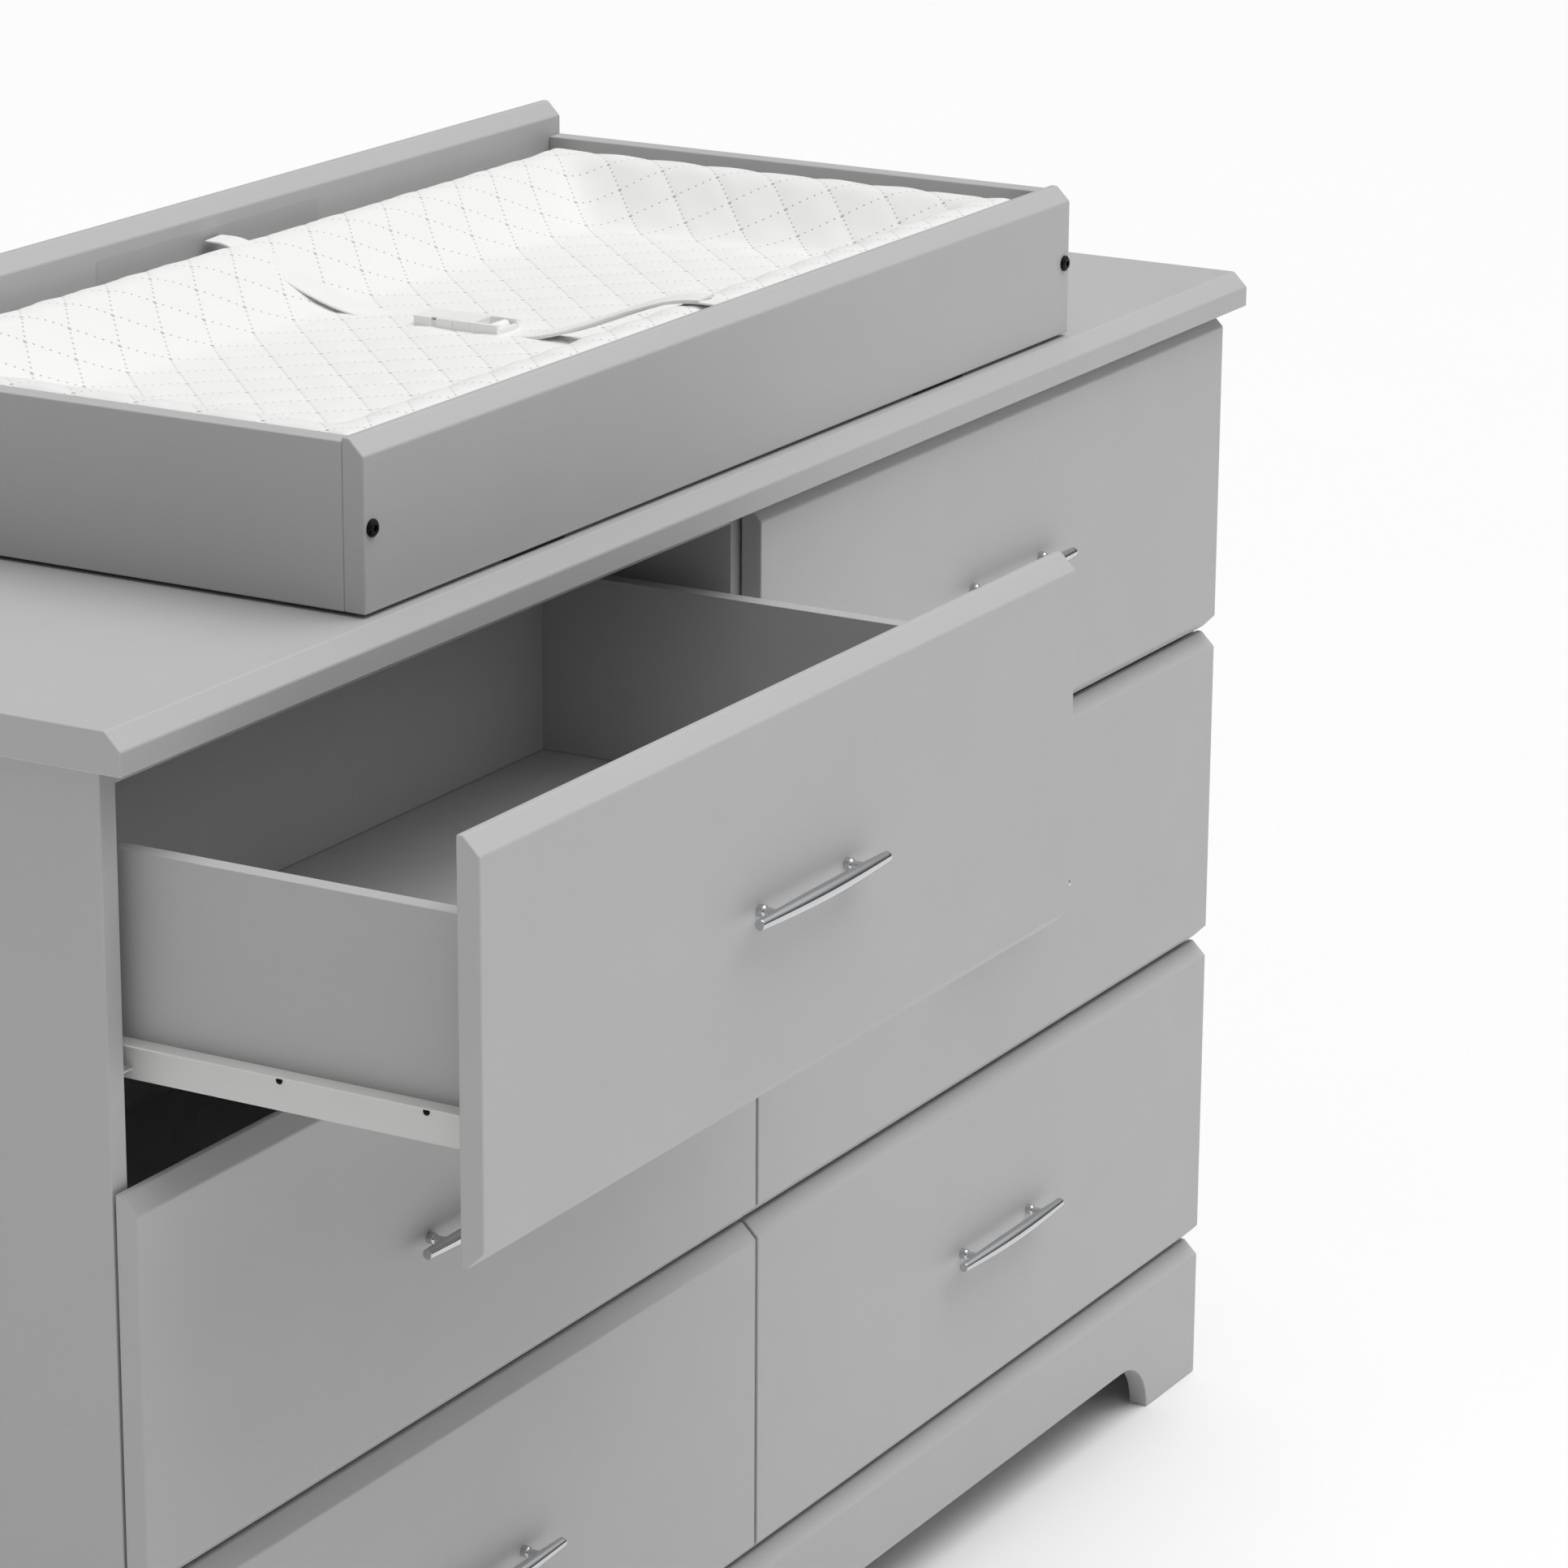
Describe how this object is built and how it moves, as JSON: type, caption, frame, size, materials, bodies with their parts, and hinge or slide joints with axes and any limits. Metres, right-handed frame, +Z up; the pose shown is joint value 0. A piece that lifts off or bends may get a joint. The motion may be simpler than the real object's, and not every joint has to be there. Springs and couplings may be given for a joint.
{
  "type": "changing table",
  "caption": "Wide grey nursery dresser with two columns of drawers on roller runners, a lift-off topper frame and a contoured changing pad with a buckled strap.",
  "frame": {"origin": "on the floor, at the middle of the box round the whole object, open drawer and its handle included", "axes": "+Z up, +X to the right along the front, the drawers open towards -Y"},
  "size_m": [1.405, 0.6986, 1.0018],
  "materials": {
    "painted_board": "satin lacquer on board",
    "drawer_board": "matt foil on board",
    "back_hardboard": "painted hardboard",
    "polished_chrome": "polished",
    "runner_steel": "epoxy coated",
    "nylon": "moulded",
    "black_bolt": "black oxide",
    "rubber_foot": "matt",
    "quilted_cover": "quilted wipe-clean cover",
    "webbing": "woven",
    "buckle_plastic": "moulded"
  },
  "bodies": {
    "case": {"top_panel": "painted_board", "left_side_panel": "painted_board", "right_side_panel": "painted_board", "centre_divider": "painted_board", "back_panels": "back_hardboard", "bottom_panel": "painted_board", "front_plinth": "painted_board", "case_rails": "painted_board", "runner_channels": "runner_steel"},
    "bottom_left_drawer": {"bottom_left_drawer_front": "painted_board", "bottom_left_drawer_box": "drawer_board", "bottom_left_drawer_bottom": "back_hardboard", "bottom_left_drawer_handle": "polished_chrome", "bottom_left_drawer_rails": "runner_steel"},
    "bottom_left_drawer_rear_rollers": {"bottom_left_drawer_rear_rollers": "nylon"},
    "bottom_left_drawer_front_rollers": {"bottom_left_drawer_front_rollers": "nylon"},
    "middle_left_drawer": {"middle_left_drawer_front": "painted_board", "middle_left_drawer_box": "drawer_board", "middle_left_drawer_bottom": "back_hardboard", "middle_left_drawer_handle": "polished_chrome", "middle_left_drawer_rails": "runner_steel"},
    "middle_left_drawer_rear_rollers": {"middle_left_drawer_rear_rollers": "nylon"},
    "middle_left_drawer_front_rollers": {"middle_left_drawer_front_rollers": "nylon"},
    "top_left_drawer": {"top_left_drawer_front": "painted_board", "top_left_drawer_box": "drawer_board", "top_left_drawer_bottom": "back_hardboard", "top_left_drawer_handle": "polished_chrome", "top_left_drawer_rails": "runner_steel"},
    "top_left_drawer_rear_rollers": {"top_left_drawer_rear_rollers": "nylon"},
    "top_left_drawer_front_rollers": {"top_left_drawer_front_rollers": "nylon"},
    "bottom_right_drawer": {"bottom_right_drawer_front": "painted_board", "bottom_right_drawer_box": "drawer_board", "bottom_right_drawer_bottom": "back_hardboard", "bottom_right_drawer_handle": "polished_chrome", "bottom_right_drawer_rails": "runner_steel"},
    "bottom_right_drawer_rear_rollers": {"bottom_right_drawer_rear_rollers": "nylon"},
    "bottom_right_drawer_front_rollers": {"bottom_right_drawer_front_rollers": "nylon"},
    "middle_right_drawer": {"middle_right_drawer_front": "painted_board", "middle_right_drawer_box": "drawer_board", "middle_right_drawer_bottom": "back_hardboard", "middle_right_drawer_handle": "polished_chrome", "middle_right_drawer_rails": "runner_steel"},
    "middle_right_drawer_rear_rollers": {"middle_right_drawer_rear_rollers": "nylon"},
    "middle_right_drawer_front_rollers": {"middle_right_drawer_front_rollers": "nylon"},
    "top_right_drawer": {"top_right_drawer_front": "painted_board", "top_right_drawer_box": "drawer_board", "top_right_drawer_bottom": "back_hardboard", "top_right_drawer_handle": "polished_chrome", "top_right_drawer_rails": "runner_steel"},
    "top_right_drawer_rear_rollers": {"top_right_drawer_rear_rollers": "nylon"},
    "top_right_drawer_front_rollers": {"top_right_drawer_front_rollers": "nylon"},
    "topper": {"topper_front_board": "painted_board", "topper_back_board": "painted_board", "topper_end_boards": "painted_board", "topper_bolts": "black_bolt", "topper_feet": "rubber_foot"},
    "pad": {"changing_pad": "quilted_cover", "restraint_strap": "webbing", "buckle_socket": "buckle_plastic", "buckle_tongue": "buckle_plastic"}
  },
  "joints": [
    {"name": "bottom_left_drawer_slide", "type": "slide", "parent": "case", "child": "bottom_left_drawer", "axis": [0, -1, 0], "range_m": [0, 0.265]},
    {"name": "bottom_left_drawer_rear_roller_spin", "type": "hinge", "parent": "bottom_left_drawer", "child": "bottom_left_drawer_rear_rollers", "pos_m": [-0.339, 0.2567, 0.1821], "axis": [1, 0, 0], "range_deg": [-2, 2302.5]},
    {"name": "bottom_left_drawer_front_roller_spin", "type": "hinge", "parent": "case", "child": "bottom_left_drawer_front_rollers", "pos_m": [-0.339, -0.0693, 0.1831], "axis": [1, 0, 0], "range_deg": [-2, 2110.8]},
    {"name": "middle_left_drawer_slide", "type": "slide", "parent": "case", "child": "middle_left_drawer", "axis": [0, -1, 0], "range_m": [0, 0.265]},
    {"name": "middle_left_drawer_rear_roller_spin", "type": "hinge", "parent": "middle_left_drawer", "child": "middle_left_drawer_rear_rollers", "pos_m": [-0.339, 0.2567, 0.4281], "axis": [1, 0, 0], "range_deg": [-2, 2302.5]},
    {"name": "middle_left_drawer_front_roller_spin", "type": "hinge", "parent": "case", "child": "middle_left_drawer_front_rollers", "pos_m": [-0.339, -0.0693, 0.4291], "axis": [1, 0, 0], "range_deg": [-2, 2110.8]},
    {"name": "top_left_drawer_slide", "type": "slide", "parent": "case", "child": "top_left_drawer", "axis": [0, -1, 0], "range_m": [-0.228, 0.037]},
    {"name": "top_left_drawer_rear_roller_spin", "type": "hinge", "parent": "top_left_drawer", "child": "top_left_drawer_rear_rollers", "pos_m": [-0.339, 0.0287, 0.6741], "axis": [1, 0, 0], "range_deg": [-1981.3, 323.2]},
    {"name": "top_left_drawer_front_roller_spin", "type": "hinge", "parent": "case", "child": "top_left_drawer_front_rollers", "pos_m": [-0.339, -0.0693, 0.6751], "axis": [1, 0, 0], "range_deg": [-1816.4, 296.4]},
    {"name": "bottom_right_drawer_slide", "type": "slide", "parent": "case", "child": "bottom_right_drawer", "axis": [0, -1, 0], "range_m": [0, 0.265]},
    {"name": "bottom_right_drawer_rear_roller_spin", "type": "hinge", "parent": "bottom_right_drawer", "child": "bottom_right_drawer_rear_rollers", "pos_m": [0.339, 0.2567, 0.1821], "axis": [1, 0, 0], "range_deg": [-2, 2302.5]},
    {"name": "bottom_right_drawer_front_roller_spin", "type": "hinge", "parent": "case", "child": "bottom_right_drawer_front_rollers", "pos_m": [0.339, -0.0693, 0.1831], "axis": [1, 0, 0], "range_deg": [-2, 2110.8]},
    {"name": "middle_right_drawer_slide", "type": "slide", "parent": "case", "child": "middle_right_drawer", "axis": [0, -1, 0], "range_m": [0, 0.265]},
    {"name": "middle_right_drawer_rear_roller_spin", "type": "hinge", "parent": "middle_right_drawer", "child": "middle_right_drawer_rear_rollers", "pos_m": [0.339, 0.2567, 0.4281], "axis": [1, 0, 0], "range_deg": [-2, 2302.5]},
    {"name": "middle_right_drawer_front_roller_spin", "type": "hinge", "parent": "case", "child": "middle_right_drawer_front_rollers", "pos_m": [0.339, -0.0693, 0.4291], "axis": [1, 0, 0], "range_deg": [-2, 2110.8]},
    {"name": "top_right_drawer_slide", "type": "slide", "parent": "case", "child": "top_right_drawer", "axis": [0, -1, 0], "range_m": [0, 0.265]},
    {"name": "top_right_drawer_rear_roller_spin", "type": "hinge", "parent": "top_right_drawer", "child": "top_right_drawer_rear_rollers", "pos_m": [0.339, 0.2567, 0.6741], "axis": [1, 0, 0], "range_deg": [-2, 2302.5]},
    {"name": "top_right_drawer_front_roller_spin", "type": "hinge", "parent": "case", "child": "top_right_drawer_front_rollers", "pos_m": [0.339, -0.0693, 0.6751], "axis": [1, 0, 0], "range_deg": [-2, 2110.8]},
    {"name": "topper_lift_off", "type": "slide", "parent": "case", "child": "topper", "axis": [0, 0, 1], "range_m": [0, 0.15]},
    {"name": "pad_lift_out", "type": "slide", "parent": "topper", "child": "pad", "axis": [0, 0, 1], "range_m": [0, 0.2]}
  ],
  "couplings": [
    {"joint": "bottom_left_drawer_rear_roller_spin", "follows": "bottom_left_drawer_slide", "rad_per_m": 151.52},
    {"joint": "bottom_left_drawer_front_roller_spin", "follows": "bottom_left_drawer_slide", "rad_per_m": 138.89},
    {"joint": "middle_left_drawer_rear_roller_spin", "follows": "middle_left_drawer_slide", "rad_per_m": 151.52},
    {"joint": "middle_left_drawer_front_roller_spin", "follows": "middle_left_drawer_slide", "rad_per_m": 138.89},
    {"joint": "top_left_drawer_rear_roller_spin", "follows": "top_left_drawer_slide", "rad_per_m": 151.52},
    {"joint": "top_left_drawer_front_roller_spin", "follows": "top_left_drawer_slide", "rad_per_m": 138.89},
    {"joint": "bottom_right_drawer_rear_roller_spin", "follows": "bottom_right_drawer_slide", "rad_per_m": 151.52},
    {"joint": "bottom_right_drawer_front_roller_spin", "follows": "bottom_right_drawer_slide", "rad_per_m": 138.89},
    {"joint": "middle_right_drawer_rear_roller_spin", "follows": "middle_right_drawer_slide", "rad_per_m": 151.52},
    {"joint": "middle_right_drawer_front_roller_spin", "follows": "middle_right_drawer_slide", "rad_per_m": 138.89},
    {"joint": "top_right_drawer_rear_roller_spin", "follows": "top_right_drawer_slide", "rad_per_m": 151.52},
    {"joint": "top_right_drawer_front_roller_spin", "follows": "top_right_drawer_slide", "rad_per_m": 138.89}
  ]
}
